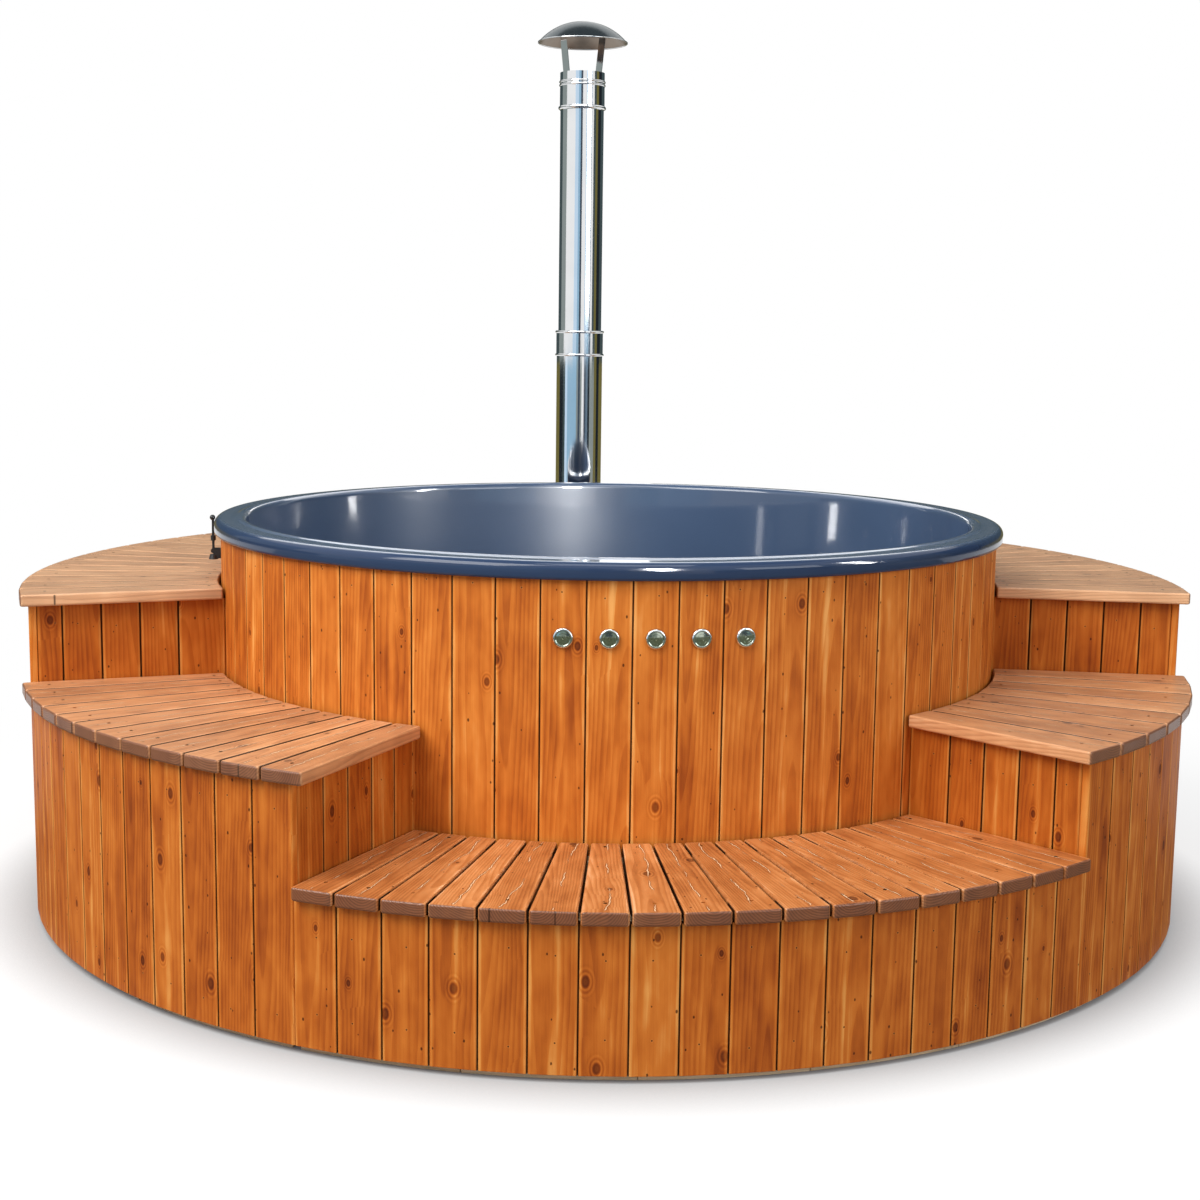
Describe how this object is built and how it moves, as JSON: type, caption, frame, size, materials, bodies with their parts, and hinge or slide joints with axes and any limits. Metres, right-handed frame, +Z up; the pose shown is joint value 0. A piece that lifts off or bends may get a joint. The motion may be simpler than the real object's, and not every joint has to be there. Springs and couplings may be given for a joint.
{
  "type": "hot tub",
  "caption": "Round wood-clad hot tub with a moulded liner, stepped timber terrace, air buttons, and a wood-fired stove with a capped flue behind.",
  "frame": {"origin": "on the tub's own vertical axis, at ground level under the middle sleeper", "axes": "+Z up, -Y towards the front with the buttons, +X to the right seen from the front, stove and flue at +Y"},
  "size_m": [2.9252, 3.1769, 2.355],
  "materials": {
    "stained_timber": "warm orange-brown stained softwood, satin, vertical grain",
    "tread_timber": "lighter pinkish-brown weathered softwood, matt",
    "sawn_timber": "plain sawn softwood and plywood",
    "gel_coat": "gloss blue-grey moulded shell",
    "foam": "closed-cell foam board",
    "stainless": "polished stainless steel sheet",
    "chrome_trim": "chrome plate",
    "black_iron": "black heat-proof finish",
    "rubber": "black rubber and soft plastic",
    "pvc": "grey moulded plastic",
    "valve_red": "red moulded plastic"
  },
  "bodies": {
    "tub": {"base_joists": "sawn_timber", "base_deck": "sawn_timber", "floor_insulation": "foam", "tub_liner": "gel_coat", "seat_ring": "gel_coat", "wall_ribs": "sawn_timber", "wall_insulation": "foam", "tub_staves": "stained_timber", "floor_drain": "pvc", "drain_grille": "stainless", "drain_pipe": "pvc", "drain_valve": "pvc", "button_bezels": "chrome_trim", "button_nuts": "rubber", "button_diaphragms": "rubber", "air_tubes": "rubber", "air_manifold": "pvc", "blower_housing": "pvc", "blower_motor": "black_iron", "air_pipe": "pvc", "air_nozzles": "stainless", "latch_bracket": "rubber", "terrace_rails": "sawn_timber", "terrace_posts": "sawn_timber", "low_wall": "stained_timber", "mid_walls": "stained_timber", "high_walls": "stained_timber", "mid_risers": "stained_timber", "high_risers": "stained_timber", "end_panels": "stained_timber", "low_tread": "tread_timber", "mid_treads": "tread_timber", "high_treads": "tread_timber", "tread_screws": "stainless", "stove_casing": "stainless", "firebox": "black_iron", "grate": "black_iron", "hinge_pins": "stainless", "stove_hoses": "rubber", "hose_clamps": "stainless", "tub_flanges": "stainless", "flue_lower": "stainless", "flue_coupling": "stainless", "flue_upper": "stainless", "cap_collar": "stainless", "cap_straps": "stainless", "rain_cap": "stainless"},
    "button_1": {"button_cap_1": "chrome_trim"},
    "button_2": {"button_cap_2": "chrome_trim"},
    "button_3": {"button_cap_3": "chrome_trim"},
    "button_4": {"button_cap_4": "chrome_trim"},
    "button_5": {"button_cap_5": "chrome_trim"},
    "valve_key": {"valve_lever": "valve_red"},
    "fan": {"blower_fan": "stainless"},
    "cover_latch": {"latch_lever": "rubber"},
    "drawer": {"ash_drawer": "black_iron"},
    "air_shutter": {"air_vent": "stainless"},
    "door": {"stove_door": "black_iron"},
    "door_handle": {"door_latch": "stainless"}
  },
  "joints": [
    {"name": "button_1_press", "type": "slide", "parent": "tub", "child": "button_1", "axis": [0.1951, 0.9808, 0], "range_m": [0, 0.003], "stiffness_N_per_m": 800, "springref_m": -0.003},
    {"name": "button_2_press", "type": "slide", "parent": "tub", "child": "button_2", "axis": [0.098, 0.9952, 0], "range_m": [0, 0.003], "stiffness_N_per_m": 800, "springref_m": -0.003},
    {"name": "button_3_press", "type": "slide", "parent": "tub", "child": "button_3", "axis": [0, 1, 0], "range_m": [0, 0.003], "stiffness_N_per_m": 800, "springref_m": -0.003},
    {"name": "button_4_press", "type": "slide", "parent": "tub", "child": "button_4", "axis": [-0.098, 0.9952, 0], "range_m": [0, 0.003], "stiffness_N_per_m": 800, "springref_m": -0.003},
    {"name": "button_5_press", "type": "slide", "parent": "tub", "child": "button_5", "axis": [-0.1951, 0.9808, 0], "range_m": [0, 0.003], "stiffness_N_per_m": 800, "springref_m": -0.003},
    {"name": "drain_valve_turn", "type": "hinge", "parent": "tub", "child": "valve_key", "pos_m": [-0.375, 1.042, 0.038], "axis": [0, 0, 1], "range_deg": [0, 90]},
    {"name": "fan_spin", "type": "hinge", "parent": "tub", "child": "fan", "pos_m": [1.02102, -0.65674, 0.18], "axis": [0, 0, 1], "continuous": true},
    {"name": "cover_latch_swing", "type": "hinge", "parent": "tub", "child": "cover_latch", "pos_m": [-1.008, 0, 0.844], "axis": [0, -1, 0], "range_deg": [0, 110]},
    {"name": "ash_drawer_slide", "type": "slide", "parent": "tub", "child": "drawer", "axis": [0, 1, 0], "range_m": [0, 0.33]},
    {"name": "air_shutter_turn", "type": "hinge", "parent": "drawer", "child": "air_shutter", "pos_m": [0.024, 1.665, 0.19], "axis": [0, 1, 0], "range_deg": [0, 45]},
    {"name": "stove_door_swing", "type": "hinge", "parent": "tub", "child": "door", "pos_m": [-0.138, 1.678, 0.415], "axis": [0, 0, 1], "range_deg": [0, 115]},
    {"name": "door_handle_turn", "type": "hinge", "parent": "door", "child": "door_handle", "pos_m": [0.137, 1.6733, 0.415], "axis": [0, 1, 0], "range_deg": [0, 90]}
  ]
}
